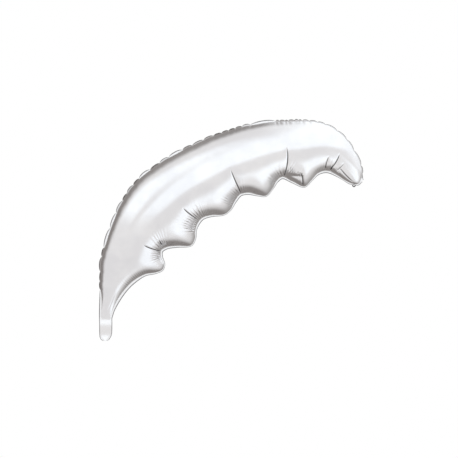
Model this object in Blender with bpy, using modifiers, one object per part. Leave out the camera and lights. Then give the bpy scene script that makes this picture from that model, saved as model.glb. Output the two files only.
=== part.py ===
"""Palm leaf foil balloon: a curved silver frond with five leaflets and a pointed tip.

Two film sheets, front and back, are sealed to each other along their rim. Below the frond the
sheets run on as a short flat tail, and a filling valve of two thin strips lies between them,
up through the neck. A hole is punched in a small tab at the tip.

Metres, +Z up. The sealed rim lies in the plane Y = 0 and the front sheet bulges towards -Y.
The origin is the mouth of the neck, where the balloon is held.
"""

import bpy
import numpy as np

# Sizes in metres
MM = 0.001
SHEET_WALL = 1.5 * MM
SEAL_THICKNESS = 1.0 * MM
PLY_GAP = 0.3 * MM
PUFF = 1.0
OUTER_RIM = 6.0 * MM
TAIL_SEAL = 5.0 * MM
SEAL_SETBACK = 0.8 * MM
TIP_CAP = 4.0 * MM

HOLE_DIAMETER = 3.8 * MM
HOLE_FROM_EDGE = 4.6 * MM
HOLE_SECTION = "tip_corner"
HOLE_SIDES = 20

VALVE_WIDTH = 21.0 * MM
VALVE_MIDDLE = -0.5 * MM
VALVE_TOP = 62.0 * MM
VALVE_BOTTOM = -58.0 * MM
VALVE_WALL = 0.35 * MM

ROWS_PER_SECTION = 2
ROWS_ACROSS = 10

FRONT = -1
BACK = 1

# The puffed part of the frond, cut across from its outer edge to its leafy inner edge, from the
# neck to the tip. Millimetres in X and Z, with the width of the sealed rim on the inner side.
SECTION_COLUMNS = ("name", "outer_x", "outer_z", "inner_x", "inner_z", "inner_rim")
SECTIONS = (
    ("neck_mouth", -13, 0, 13, 0, 5),
    ("neck_top", -12, 25, 20, 24, 6),
    ("throat", -12, 56, 35, 53, 7),
    ("stem_low", -14, 90, 56, 82, 7),
    ("stem_mid", -14, 123, 80, 105, 7),
    ("stem_top", -13, 154, 110, 122, 5),
    ("leaf1_heel", -9, 174, 138, 127, 4),
    ("leaf1_corner", -5, 192, 158, 135, 3),
    ("leaf1_front", 1, 210, 163, 151, 3),
    ("leaf1_back", 7, 230, 155, 171, 5),
    ("notch1", 15, 253, 155, 188, 6),
    ("leaf2_root", 26, 281, 173, 199, 6),
    ("leaf2_heel", 36, 305, 202, 202, 5),
    ("leaf2_corner", 51, 332, 237, 203, 3),
    ("leaf2_front", 65, 354, 250, 223, 3),
    ("leaf2_mid", 79, 372, 251, 246, 4),
    ("leaf2_back", 93, 388, 258, 266, 6),
    ("notch2", 110, 403, 272, 281, 6),
    ("leaf3_heel", 135, 421, 297, 288, 5),
    ("leaf3_corner", 166, 442, 330, 290, 3),
    ("leaf3_front", 191, 456, 349, 304, 3),
    ("leaf3_back", 219, 471, 360, 325, 5),
    ("notch3", 253, 487, 376, 346, 6),
    ("leaf4_root", 292, 505, 398, 351, 6),
    ("leaf4_heel", 323, 516, 425, 345, 4),
    ("leaf4_corner", 353, 526, 449, 343, 3),
    ("leaf4_front", 384, 535, 467, 363, 3),
    ("leaf4_back", 415, 541, 478, 383, 5),
    ("notch4", 449, 547, 496, 395, 6),
    ("leaf5_heel", 488, 550, 524, 382, 5),
    ("leaf5_corner", 533, 551, 555, 368, 3),
    ("leaf5_front", 566, 550, 576, 386, 3),
    ("leaf5_back", 597, 546, 594, 405, 5),
    ("notch5", 628, 535, 618, 412, 6),
    ("tip_root", 654, 518, 642, 403, 5),
    ("tip_heel", 675, 497, 666, 388, 3),
    ("tip_belly", 694, 468, 682, 379, 4),
    ("tip_corner", 711, 435, 696, 375, 9),
    ("tip_front", 716, 409, 706, 375, 4),
    ("tip_end", 715, 391, 712, 381, 4),
)

# The flat tail, from its rounded end up to the neck: millimetres
TAIL_COLUMNS = ("name", "left", "right", "height")
TAIL = (
    ("end", -9, 5, -64),
    ("bend", -16, 12, -57),
    ("low", -18, 17, -44),
    ("middle", -18, 18, -22),
)

SILVER = (0.80, 0.80, 0.81)
SEAL_GREY = (0.62, 0.62, 0.63)
FILM_GREY = (0.86, 0.86, 0.85)


def table(columns, lines):
    """Read a table of named lines as a list of dictionaries, with the lengths in metres."""
    rows = []
    for line in lines:
        row = {"name": line[0]}
        for column, value in zip(columns[1:], line[1:]):
            row[column] = value * MM
        rows.append(row)
    return rows


def new_material(name, colour, roughness, metallic):
    material = bpy.data.materials.new(name)
    material.use_nodes = True
    shader = material.node_tree.nodes["Principled BSDF"]
    shader.inputs["Base Color"].default_value = (*colour, 1.0)
    shader.inputs["Roughness"].default_value = roughness
    shader.inputs["Metallic"].default_value = metallic
    material.diffuse_color = (*colour, 1.0)
    return material


def spline_through(points, steps):
    """Points along a smooth curve through the given ones, with the given steps in each span."""
    first = 2.0 * points[0] - points[1]
    last = 2.0 * points[-1] - points[-2]
    padded = np.vstack([first, points, last])
    smooth = []
    for index in range(1, len(points)):
        before, start, end, after = padded[index - 1:index + 3]
        for step in range(steps):
            t = step / steps
            smooth.append(0.5 * (
                2.0 * start
                + (end - before) * t
                + (2.0 * before - 5.0 * start + 4.0 * end - after) * t ** 2
                + (3.0 * start - before - 3.0 * end + after) * t ** 3
            ))
    smooth.append(points[-1])
    return np.array(smooth)


def left_of(path):
    """Unit vectors in the plane, to the left of the way along a path."""
    along = np.gradient(path, axis=0)
    along /= np.linalg.norm(along, axis=1)[:, None]
    return np.stack([-along[:, 1], along[:, 0]], axis=1)


def frond_rows():
    """The outline of the frond as rows: rim edge and puffed edge on both sides, X and Z."""
    sections = table(SECTION_COLUMNS, SECTIONS)
    values = np.array([[row[column] for column in SECTION_COLUMNS[1:]] for row in sections])
    values = spline_through(values, ROWS_PER_SECTION)
    outer = values[:, 0:2]
    inner = values[:, 2:4]
    outer_edge = outer + left_of(outer) * OUTER_RIM
    inner_edge = inner - left_of(inner) * values[:, 4:5]
    outer_edge[0] = outer[0] + (-TAIL_SEAL, 0.0)
    inner_edge[0] = inner[0] + (TAIL_SEAL, 0.0)
    return outer_edge, outer, inner, inner_edge


def tail_rows():
    """The outline of the tail as rows, in the order of frond_rows."""
    rows = table(TAIL_COLUMNS, TAIL)
    left = np.array([[row["left"], row["height"]] for row in rows])
    right = np.array([[row["right"], row["height"]] for row in rows])
    seal = np.array([min(TAIL_SEAL, 0.3 * (row["right"] - row["left"])) for row in rows])
    inset = np.stack([seal, np.zeros(len(rows))], axis=1)
    return left, left + inset, right - inset, right


def tip_cap(edges):
    """One row past the last section, where the rim closes round the tip."""
    outer_edge, outer, inner, inner_edge = (edge[-1] for edge in edges)
    onward = np.array([-(inner - outer)[1], (inner - outer)[0]])
    onward *= TIP_CAP / np.linalg.norm(onward)
    if onward[1] > 0.0:
        onward = -onward
    ends = (outer_edge * 0.6 + outer * 0.4, outer, inner, inner_edge * 0.6 + inner * 0.4)
    return [end + onward for end in ends]


def sheet_outline():
    """All rows of the sheets, from the end of the tail to the rim round the tip."""
    tail = tail_rows()
    frond = frond_rows()
    cap = tip_cap(frond)
    return [np.vstack([tail[side], frond[side], cap[side]]) for side in range(4)]


def pillow_heights(points, triangles, free):
    """How far a sealed envelope of this outline lifts from its plane when it is filled."""
    stiffness = np.zeros((len(points), len(points)))
    load = np.zeros(len(points))
    for triangle in triangles:
        corners = points[list(triangle)]
        sides = corners[[2, 0, 1]] - corners[[1, 2, 0]]
        area = 0.5 * abs(sides[0, 0] * sides[1, 1] - sides[0, 1] * sides[1, 0])
        stiffness[np.ix_(triangle, triangle)] += sides @ sides.T / (4.0 * area)
        load[list(triangle)] += area / 3.0
    heights = np.zeros(len(points))
    heights[free] = np.linalg.solve(stiffness[np.ix_(free, free)], load[free])
    return PUFF * np.sqrt(np.maximum(heights, 0.0))


def sheet_surface():
    """Flat points, heights and faces of one sheet: its rim, its puffed middle and its tail."""
    outer_edge, outer, inner, inner_edge = sheet_outline()
    across = 0.5 - 0.5 * np.cos(np.linspace(0.0, np.pi, ROWS_ACROSS + 1))
    columns = [outer_edge]
    for share in across:
        columns.append(outer * (1.0 - share) + inner * share)
    columns.append(inner_edge)
    grid = np.stack(columns, axis=1)
    rows, width = grid.shape[:2]
    points = grid.reshape(-1, 2)
    quads = []
    for row in range(rows - 1):
        for column in range(width - 1):
            corner = row * width + column
            quads.append((corner, corner + 1, corner + width + 1, corner + width))
    triangles = []
    for a, b, c, d in quads:
        triangles.extend([(a, b, c), (a, c, d)])
    first_puffed = len(TAIL) + 1
    free = [
        row * width + column
        for row in range(first_puffed, rows - 2)
        for column in range(2, width - 2)
    ]
    return points, pillow_heights(points, triangles, free), quads


def add_mesh_object(name, vertices, faces, material, collection):
    mesh = bpy.data.meshes.new(name)
    mesh.from_pydata([tuple(vertex) for vertex in vertices], [], faces)
    mesh.shade_smooth()
    mesh.materials.append(material)
    thing = bpy.data.objects.new(name, mesh)
    collection.objects.link(thing)
    return thing


def add_solidify(thing, thickness, offset):
    modifier = thing.modifiers.new("Wall", "SOLIDIFY")
    modifier.thickness = thickness
    modifier.offset = offset
    modifier.use_even_offset = True
    return modifier


def add_sheet(name, surface, side, material, collection):
    """One film sheet. Its rim lies flat against the seal and its middle bulges to the side."""
    points, heights, quads = surface
    rest = 0.5 * SEAL_THICKNESS + PLY_GAP + SHEET_WALL
    vertices = [
        (point[0], side * (rest + height), point[1])
        for point, height in zip(points, heights)
    ]
    faces = quads if side < 0 else [tuple(reversed(quad)) for quad in quads]
    sheet = add_mesh_object(name, vertices, faces, material, collection)
    add_solidify(sheet, SHEET_WALL, -1.0)
    return sheet


def set_back(line, edge):
    """The puffed edge, moved a little way into the rim."""
    towards = edge - line
    return line + towards * SEAL_SETBACK / np.linalg.norm(towards, axis=1)[:, None]


def hole_centre():
    """The middle of the tab at the tip."""
    names = [line[0] for line in SECTIONS]
    row = len(TAIL) + names.index(HOLE_SECTION) * ROWS_PER_SECTION
    _, _, inner, inner_edge = sheet_outline()
    towards = inner_edge[row] - inner[row]
    return inner[row] + towards * HOLE_FROM_EDGE / np.linalg.norm(towards)


def add_flat(name, outlines, thickness, depth, material, collection):
    """A flat piece in the plane of the seam, filled between closed outlines of X and Z."""
    curve = bpy.data.curves.new(name, "CURVE")
    curve.dimensions = "2D"
    curve.fill_mode = "BOTH"
    curve.extrude = 0.5 * thickness
    for outline in outlines:
        spline = curve.splines.new("POLY")
        spline.points.add(len(outline) - 1)
        for point, (x, z) in zip(spline.points, outline):
            point.co = (x, z, 0.0, 1.0)
        spline.use_cyclic_u = True
    curve.materials.append(material)
    thing = bpy.data.objects.new(name, curve)
    thing.rotation_euler = (0.5 * np.pi, 0.0, 0.0)
    thing.location = (0.0, depth, 0.0)
    collection.objects.link(thing)
    return thing


def circle(centre, radius, count):
    turns = np.linspace(0.0, 2.0 * np.pi, count, endpoint=False)
    return [(centre[0] + radius * np.cos(t), centre[1] + radius * np.sin(t)) for t in turns]


def add_seal(name, material, collection):
    """The band that joins the sheets along the rim and down both sides of the tail."""
    names = [line[0] for line in TAIL]
    start = names.index("low")
    outer_edge, outer, inner, inner_edge = (side[start:] for side in sheet_outline())
    puffed_outer = set_back(outer, outer_edge)[:-1]
    puffed_inner = set_back(inner, inner_edge)[:-1]
    band = np.vstack([outer_edge, inner_edge[::-1], puffed_inner, puffed_outer[::-1]])
    hole = circle(hole_centre(), 0.5 * HOLE_DIAMETER, HOLE_SIDES)
    return add_flat(name, [band, hole], SEAL_THICKNESS, 0.0, material, collection)


def add_hole(sheet, cutters):
    """Punch the hanging hole through the tab of one sheet."""
    centre = hole_centre()
    bpy.ops.mesh.primitive_cylinder_add(
        vertices=HOLE_SIDES,
        radius=0.5 * HOLE_DIAMETER,
        depth=10.0 * SHEET_WALL,
        location=(centre[0], 0.0, centre[1]),
        rotation=(0.5 * np.pi, 0.0, 0.0),
    )
    cutter = bpy.context.object
    cutter.name = "Hole of " + sheet.name
    cutter.display_type = "WIRE"
    cutter.hide_render = True
    for collection in cutter.users_collection:
        collection.objects.unlink(cutter)
    cutters.objects.link(cutter)
    modifier = sheet.modifiers.new("Hanging hole", "BOOLEAN")
    modifier.operation = "DIFFERENCE"
    modifier.solver = "EXACT"
    modifier.object = cutter


def add_valve_strip(name, side, material, collection):
    """One of the two film strips of the filling valve, between the sheets at the neck."""
    left = VALVE_MIDDLE - 0.5 * VALVE_WIDTH
    right = VALVE_MIDDLE + 0.5 * VALVE_WIDTH
    outline = [(left, VALVE_BOTTOM), (right, VALVE_BOTTOM), (right, VALVE_TOP), (left, VALVE_TOP)]
    depth = side * 0.5 * (SEAL_THICKNESS - VALVE_WALL)
    return add_flat(name, [outline], VALVE_WALL, depth, material, collection)


def main():
    for thing in list(bpy.data.objects):
        bpy.data.objects.remove(thing, do_unlink=True)
    balloon = bpy.data.collections.new("Palm leaf balloon")
    cutters = bpy.data.collections.new("Cutters")
    bpy.context.scene.collection.children.link(balloon)
    bpy.context.scene.collection.children.link(cutters)

    surface = sheet_surface()
    front_foil = new_material("Silver film, front", SILVER, 0.20, 1.0)
    back_foil = new_material("Silver film, back", SILVER, 0.20, 1.0)
    sealed = new_material("Sealed rim", SEAL_GREY, 0.35, 0.8)
    front = add_sheet("front_foil_sheet", surface, FRONT, front_foil, balloon)
    back = add_sheet("back_foil_sheet", surface, BACK, back_foil, balloon)
    add_hole(front, cutters)
    add_hole(back, cutters)
    add_seal("rim_heat_seal", sealed, balloon)
    for name, side in (("valve_front_strip", FRONT), ("valve_back_strip", BACK)):
        film = new_material("Valve film of " + name, FILM_GREY, 0.30, 0.0)
        add_valve_strip(name, side, film, balloon)


main()
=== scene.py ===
"""The looks of the palm leaf foil balloon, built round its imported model.

The frond is worked out on a grid: rows run across it from the outer edge to the leafy inner
edge, from the end of the tail to the tip. The filled shape comes from the pressure equation for
the frond's outline, and the puckers of the rim, the pleats between the leaflets and the sharp
creases are added to it. Front and back are the same film, mirrored in the plane of the rim.
"""

import math

import bpy
import numpy as np
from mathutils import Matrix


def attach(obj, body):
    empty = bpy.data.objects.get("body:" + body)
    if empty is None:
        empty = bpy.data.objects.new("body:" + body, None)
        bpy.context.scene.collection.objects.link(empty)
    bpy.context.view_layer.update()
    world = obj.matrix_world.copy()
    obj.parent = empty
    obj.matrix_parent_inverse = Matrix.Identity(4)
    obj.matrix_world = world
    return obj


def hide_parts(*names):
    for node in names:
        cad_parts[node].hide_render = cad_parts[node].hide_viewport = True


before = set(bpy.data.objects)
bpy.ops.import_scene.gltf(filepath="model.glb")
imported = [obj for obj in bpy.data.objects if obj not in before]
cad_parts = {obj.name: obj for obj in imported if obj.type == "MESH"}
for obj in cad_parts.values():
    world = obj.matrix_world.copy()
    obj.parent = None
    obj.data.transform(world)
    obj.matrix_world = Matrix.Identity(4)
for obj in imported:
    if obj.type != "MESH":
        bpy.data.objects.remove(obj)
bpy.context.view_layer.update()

MM = 0.001

# The photograph's frame: metres at the rim's plane for one pixel, and the pixel over the origin
METRES_PER_PIXEL = 0.0028
ORIGIN_PIXEL = (105.8, 318.0)
PHOTO_SIZE = 458
CAMERA_LENS = 100.0
CAMERA_SENSOR = 36.0

# The floor: its height, and two of its corners in X and Y
FLOOR_HEIGHT = -0.55
FLOOR_CORNERS = ((-3.0, -3.2), (3.7, 0.8))
FLOOR_ROWS = 12

# The film, and how the filled shape is solved
PLY = 0.12 * MM
WELD_THICKNESS = 0.20 * MM
WELD_LIP = 0.15 * MM
PUFF = 1.0
SOLVER_STEPS = 3000
SOLVER_END = 1e-12
SOLVER_LEAST_WEIGHT = 1e-6
NEAREST_CHUNK = 4000
NEAREST_SHIFT = 2.0 * MM

# A distance that counts as far from every fold and crease, and the least value to divide by
FAR_AWAY = 1.0
TINY = 1e-12

# The grid: rows along the frond and columns across it. Rows lie at the fine spacing in the pleated
# stretches and open out to the coarse one past them; columns crowd towards both edges.
ROWS_ALONG = 900
ROWS_TAIL = 16
ROWS_CAP = 5
COLUMNS_ACROSS = 92
COLUMNS_RIM = 6
OUTLINE_SAMPLES = 6000
FINE_SPACING = 0.8
COARSE_SPACING = 2.4
PLEAT_EASE = 15.0
OUTER_WEIGHT = 0.6
EDGE_CROWDING = 0.6

# The petals of the outer rim: their least reach in millimetres and as a share of the full one, the
# powers that round them, how the film folds and curls between and on them, and how much painted
# shade the petals that lean back and the cut edge of the rim get
PETAL_LEAST = 1.2
PETAL_LEAST_SHARE = 0.4
PETAL_FLATNESS = 2.6
PETAL_ROUNDNESS = 0.75
SWELL_BASE = 0.3
FOLD_DEPTH = 0.10
FOLD_REACH = 5.0 * MM
FOLD_WIDTH = 2.2 * MM
FOLD_WIDENING = 0.35
LEAN_REACH = 4.0 * MM
LEAN_AT_PUFF = 0.1
LEAN_POWER = 1.3
CURL_BACK = 2.8
# The lean that gives a petal its full painted shade, and the share of that shade on the puffed edge
# beside it
PUCKER_SHADE_LEAN = 2.0
PUCKER_SHADE_AT_PUFF = 0.6
EDGE_REACH = 9.0 * MM
# Where the painted shade of the cut edge rises across the outer columns of the rim
EDGE_SHADE_SPAN = (0.5, 0.85)

# The sharp creases: where they fade in and out along their length, how near the edge they end, and
# how the rows of the grid gather along them
CREASE_FADE = (-0.35, 0.0, 0.25, 1.0)
# The fade and width of the grooves also set where their painted shade lies
GROOVE_FADE = (-0.2, 0.05, 0.7, 1.02)
GROOVE_WIDTH = 1.0 * MM
CREASE_CLEARANCE = 5.0 * MM
GATHER_FADE = (-0.25, -0.02, 1.0, 1.3)
GATHER_SPAN = (0.05, 0.95)
GATHER_WITHIN = 3.0 * MM
GATHER_ROWS = 9.0
GATHER_CLOSE_ROWS = 2.5
GATHER_PULL = 0.5
GATHER_LEAST = 0.6

# The pleats: strength and period, in pleats, of the two waves that make them uneven in place, and
# of the one that makes them uneven in strength
PLEAT_START = 0.9 * MM
PLEAT_DRIFTS = ((0.9, 2.3, 0.0), (0.6, 0.9, 1.0))
PLEAT_UNEVEN = 0.35
PLEAT_UNEVEN_PERIOD = 1.7
PLEAT_FULL = 0.6

# The neck and the tail
NECK_TAPER_FROM = -32.0 * MM
NECK_TAPER_TO = 80.0 * MM
TAIL_SEAL = 5.0 * MM
TAIL_SEAL_SHARE = 0.3
TAIL_SWAY = 1.0 * MM
TAIL_SWAY_START = 20.0 * MM
TAIL_SWAY_LENGTH = 11.0 * MM
TAIL_GAPE = 1.2 * MM
TAIL_GAPE_FROM = 46.0 * MM
TAIL_GAPE_TO = 64.0 * MM
TAIL_MOUTH = -44.0 * MM

# Where the rim closes round the tip
TIP_CAP = 4.0 * MM
TIP_CAP_PULL = 0.75

# The punched hole at the tip, in its small tab: its lip and its outer edge as millimetres outward
# and a share of the thickness, and how much painted shade each of these rings gets
TAB_HOLE = 1.9 * MM
TAB_RADIUS = 5.0 * MM
TAB_FROM_EDGE = 3.8 * MM
TAB_THICKNESS = 0.35 * MM
TAB_LIP = ((0.0, 0.0), (0.3, 1.0), (0.8, 1.0), (1.2, 0.6))
TAB_OUTSIDE = ((-0.3, 0.6), (0.0, 0.0))
TAB_SHADE = (1.0, 1.0, 0.9, 0.9, 1.0, 1.0)
TAB_SIDES = 48

# The filling valve: two strips of plain film in the neck, sealed to each other along both sides
VALVE_HALF_WIDTH = 10.5 * MM
VALVE_BOTTOM = -58.0 * MM
VALVE_TOP = 62.0 * MM
VALVE_PLY = 0.05 * MM
VALVE_HALF_THICKNESS = 0.02 * MM
VALVE_END = 5.0 * MM
VALVE_END_WIDTH = 0.86
VALVE_SEAL_PLACE = 0.9
VALVE_SEAL_WIDTH = 0.06
VALVE_ROWS = 60
VALVE_COLUMNS = 14

# Colours of the film, the weld, the valve's plastic and the floor, with the painted shade of the
# film's puckered petals, cut edges and crease grooves
FOIL_HAZY = (0.87, 0.87, 0.885, 1.0)
FOIL_CLEAR = (0.95, 0.95, 0.955, 1.0)
FOIL_WELDED = (0.93, 0.925, 0.925, 1.0)
# Painted shade on the petals that lean to the back
FOIL_PUCKER_SHADE = (0.40, 0.38, 0.37, 1.0)
# Painted shade along the cut edge of the rim
FOIL_EDGE_SHADE = (0.17, 0.16, 0.155, 1.0)
# Painted shade in the grooves of the sharp creases
FOIL_GROOVE_SHADE = (0.05, 0.045, 0.045, 1.0)
WELD_HAZY = (0.62, 0.62, 0.63, 1.0)
WELD_CLEAR = (0.80, 0.80, 0.81, 1.0)
# Painted shade, used on the hang tab's rings
WELD_EDGE_SHADE = (0.12, 0.115, 0.11, 1.0)
MILKY_HAZY = (0.80, 0.80, 0.79, 1.0)
MILKY_CLEAR = (0.90, 0.90, 0.89, 1.0)
FLOOR_DULL = (0.84, 0.84, 0.835, 1.0)
FLOOR_PALE = (0.88, 0.88, 0.875, 1.0)

# Their roughness, from the glossiest to the dullest places, what the foil's gains by the rim, and
# the strength of the foil's crinkles, with what that gains by the rim
FOIL_ROUGHNESS = (0.13, 0.21)
WELD_ROUGHNESS = (0.24, 0.36)
MILKY_ROUGHNESS = (0.30, 0.44)
FLOOR_ROUGHNESS = 0.85
DULLER_BY_RIM = 0.05
CRINKLES = 0.05
CRINKLES_BY_RIM = 0.35

# The studio. Directions are given by how far they point aside (to the right), in depth (away from
# the camera) and in height, and pairs are where a soft edge starts and ends.
WALLS = (0.825, 0.812, 0.812, 1.0)
PANELS = (1.08, 1.11, 1.14, 1.0)
UNLIT = (0.26, 0.24, 0.23, 1.0)
UNLIT_PALER = (0.40, 0.385, 0.375, 1.0)
SHOWN_BEHIND = (1.0, 1.0, 1.0, 1.0)
RIGHT_EDGE = (-0.12, 0.14)
# The large panel above: its peak, how its lower edge falls away to the left and to the right of
# it, and where it ends overhead
PANEL_PEAK = -0.15
PANEL_FALL_LEFT = -0.60
PANEL_FALL_RIGHT = 0.50
PANEL_LIFT = 0.085
PANEL_EDGE = (-0.10, 0.06)
OVERHEAD_FROM = -0.65
OVERHEAD_SLANT = 0.6
OVERHEAD_EDGE = (-0.12, -0.42)
# The dim gap that slants across that panel
GAP_SLANT = -0.68
GAP_PLACE = 0.64
GAP_EDGE = (0.04, 0.17)
GAP_HEIGHTS = (0.15, 0.60)
GAP_STRENGTHS = (1.0, 0.30)
# The smaller panel low on the right, and the light from that side
LOWER_SLANT = 0.5
LOWER_EDGE = (-0.16, 0.04)
LOWER_DEPTHS = ((-0.92, -0.74), (-0.25, -0.50))
LOWER_HEIGHTS = (0.03, -0.10)
SIDE_HEIGHTS = (-0.10, 0.15)
SIDE_DEPTHS = (-0.85, -0.2)
SIDE_STRENGTH = 0.55
# The unlit room behind: how much further forward it reaches below, beside and on the left, how
# soft its edge is, and the light at its far end
REACH_UNDER = 0.43
REACH_BESIDE = 0.25
REACH_LEFT = 0.12
LEFT_EDGE = (0.0, -0.4)
ROOM_FROM = -0.02
ROOM_SOFTNESS = 0.52
ROOM_SOFTER_RIGHT = 0.40
FAR_DEPTHS = (0.84, 0.97)
FAR_STRENGTH = 0.6
PALER_ASIDE = (0.2, 0.7)
PALER_HEIGHTS = (0.3, 0.9)
PALER_ABOVE = 0.4

# The puffed part of the frond, cut across from its outer edge to its leafy inner edge, from the
# neck to the tip. Each line has a name, X and Z at the outer edge, X and Z at the inner edge and
# the width of the sealed rim on the inner side, in millimetres.
SECTIONS = (
    ("neck_mouth", -13, 0, 13, 0, 5),
    ("neck_top", -12, 25, 20, 24, 6),
    ("throat", -12, 56, 35, 53, 7),
    ("stem_low", -15, 90, 56, 82, 7),
    ("stem_mid", -14, 123, 80, 105, 7),
    ("stem_top", -13, 154, 110, 122, 5),
    ("leaf1_heel", -9, 174, 138, 127, 4),
    ("leaf1_corner", -5, 192, 158, 135, 3),
    ("leaf1_front", 1, 210, 163, 151, 3),
    ("leaf1_back", 7, 230, 155, 171, 5),
    ("notch1", 15, 253, 155, 188, 6),
    ("leaf2_root", 26, 281, 173, 199, 6),
    ("leaf2_heel", 36, 305, 202, 202, 5),
    ("leaf2_corner", 51, 332, 237, 203, 3),
    ("leaf2_front", 65, 354, 250, 223, 3),
    ("leaf2_mid", 79, 372, 251, 246, 4),
    ("leaf2_back", 93, 388, 258, 266, 6),
    ("notch2", 110, 403, 272, 281, 6),
    ("leaf3_heel", 135, 421, 297, 288, 5),
    ("leaf3_corner", 166, 442, 330, 290, 3),
    ("leaf3_front", 191, 456, 349, 304, 3),
    ("leaf3_back", 219, 471, 360, 325, 5),
    ("notch3", 253, 487, 376, 346, 6),
    ("leaf4_root", 292, 505, 398, 351, 6),
    ("leaf4_heel", 323, 516, 425, 345, 4),
    ("leaf4_corner", 353, 526, 449, 343, 3),
    ("leaf4_front", 384, 535, 467, 363, 3),
    ("leaf4_back", 415, 541, 478, 383, 5),
    ("notch4", 449, 547, 496, 395, 6),
    ("leaf5_heel", 488, 550, 524, 382, 5),
    ("leaf5_corner", 533, 551, 555, 368, 3),
    ("leaf5_front", 566, 550, 576, 386, 3),
    ("leaf5_back", 597, 546, 594, 405, 5),
    ("notch5", 628, 535, 618, 412, 6),
    ("tip_root", 654, 518, 642, 403, 5),
    ("tip_heel", 675, 497, 666, 388, 3),
    ("tip_belly", 694, 468, 682, 379, 4),
    ("tip_corner", 711, 435, 696, 375, 2.6),
    ("tip_front", 716, 409, 706, 375, 4),
    ("tip_end", 715, 391, 712, 381, 4),
)

# The flat tail, from its rounded end up to the neck. Each line has a name, X at the left edge, X at
# the right edge, and the height, in millimetres.
TAIL = (
    ("end", -9, 5, -64),
    ("bend", -16, 12, -57),
    ("low", -18, 17, -44),
    ("middle", -18, 18, -22),
)

# The puckers of the outer rim: where each petal ends in a fold, along the puffed edge from the
# neck, how far it reaches out, how far it leans to the front (-) or the back (+), and how far the
# puffed edge swells into it. The first fold lies below the neck. Millimetres.
PETAL_COLUMNS = ("end", "reach", "lean", "swell")
PETALS = (
    (-24, 6.4, -0.1, 0.0),
    (80, 6.6, -0.1, 0.0),
    (103, 4.0, 2.2, 0.3),
    (130, 4.2, 2.2, 0.3),
    (172, 5.8, 1.9, 0.6),
    (198, 5.0, 2.2, 0.7),
    (256, 7.0, -0.3, 0.5),
    (301, 6.4, -0.4, 0.6),
    (339, 6.0, 0.9, 0.8),
    (363, 5.0, 2.3, 0.8),
    (392, 5.8, 1.5, 0.7),
    (416, 4.8, 2.3, 0.9),
    (456, 6.4, -0.3, 0.8),
    (488, 5.0, 2.2, 0.9),
    (518, 5.8, 1.0, 0.8),
    (562, 7.0, -0.2, 0.5),
    (592, 5.6, 1.8, 0.8),
    (627, 5.6, 1.4, 0.7),
    (657, 5.4, 1.6, 0.8),
    (681, 4.6, 2.2, 0.9),
    (702, 4.8, 2.0, 0.8),
    (721, 4.6, 2.2, 0.8),
    (741, 4.8, 1.8, 0.8),
    (764, 5.8, 0.8, 0.7),
    (836, 7.2, -0.1, 0.2),
    (846, 5.4, 1.4, 0.3),
    (862, 5.0, 1.7, 0.4),
    (871, 4.4, 1.9, 0.4),
    (889, 5.2, 1.6, 0.5),
    (899, 6.4, 1.2, 0.5),
    (910, 5.2, 1.4, 0.8),
    (929, 5.0, 1.0, 1.0),
    (952, 4.4, 1.0, 1.3),
    (975, 4.0, 0.9, 1.5),
    (1013, 3.8, 0.8, 1.8),
    (1049, 3.8, 0.9, 1.8),
    (1085, 3.8, 0.8, 1.8),
    (1132, 4.0, 0.8, 1.6),
    (1156, 4.4, 1.0, 1.0),
    (1180, 4.6, 1.2, 0.8),
)

# Sharp creases of the film: X and Z at the end by the edge and at the end in the leaf, how far the
# line bows to its left, how deep it is, how wide its left and right sides are, seen along it from
# the edge, and how deep the narrow groove in it is. Millimetres.
CREASE_COLUMNS = ("x1", "z1", "x2", "z2", "bow", "depth", "left", "right", "groove")
CREASES = (
    (151, 189, 106, 207, 2.5, 2.4, 18.0, 6.0, 2.2),
    (160, 206, 152, 218, 0.5, 1.2, 6.0, 5.0, 1.8),
    (252, 280, 217, 309, 2.0, 2.6, 18.0, 6.0, 2.2),
    (375, 355, 348, 417, 0.8, 2.6, 10.0, 7.0, 2.2),
    (500, 402, 504, 478, -5.0, 2.8, 9.0, 7.0, 2.4),
    (613, 420, 622, 452, 1.0, 1.8, 7.0, 6.0, 1.8),
    (628, 416, 653, 461, -3.0, 2.2, 8.0, 7.0, 2.2),
    (648, 414, 665, 434, -1.5, 1.4, 6.0, 5.0, 1.3),
    (656, 415, 694, 379, -2.0, 1.2, 5.0, 9.0, 1.6),
    (551, 373, 544, 407, -1.5, 1.8, 6.0, 6.0, 1.8),
    (540, 396, 500, 401, 1.0, 6.4, 16.0, 6.0, 0.0),
    (8, 26, 30, 74, -1.0, 1.0, 7.0, 7.0, 0.8),
)

# The stretches of the inner edge with fine pleats: middle and half length along the puffed edge,
# spacing, how far into the leaf they are strongest and their reach from there, in millimetres, and
# strength as a share of the lift
PLEAT_COLUMNS = ("middle", "half", "spacing", "centre", "reach", "strength")
PLEATS = (
    (150, 60, 5.4, 4.0, 6.0, 0.06),
    (230, 24, 4.4, 8.0, 8.0, 0.06),
    (270, 30, 4.0, 8.0, 11.0, 0.09),
    (318, 36, 4.6, 2.0, 4.0, 0.22),
    (422, 30, 4.8, 9.0, 9.0, 0.20),
    (454, 16, 4.2, 8.0, 7.0, 0.11),
    (472, 34, 4.6, 2.0, 4.0, 0.24),
    (558, 28, 4.8, 8.0, 8.0, 0.17),
    (604, 22, 4.6, 3.0, 6.0, 0.18),
    (628, 30, 4.6, 2.0, 4.0, 0.22),
    (704, 26, 4.8, 7.0, 7.0, 0.17),
    (750, 22, 4.8, 24.0, 7.0, 0.20),
    (852, 22, 4.4, 6.0, 5.0, 0.08),
    (890, 22, 4.4, 5.0, 5.0, 0.16),
)


def table(columns, lines):
    """Named columns of a table of lengths in millimetres, as arrays."""
    values = np.array([line[-len(columns):] for line in lines], dtype=float)
    return dict(zip(columns, values.T))


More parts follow.
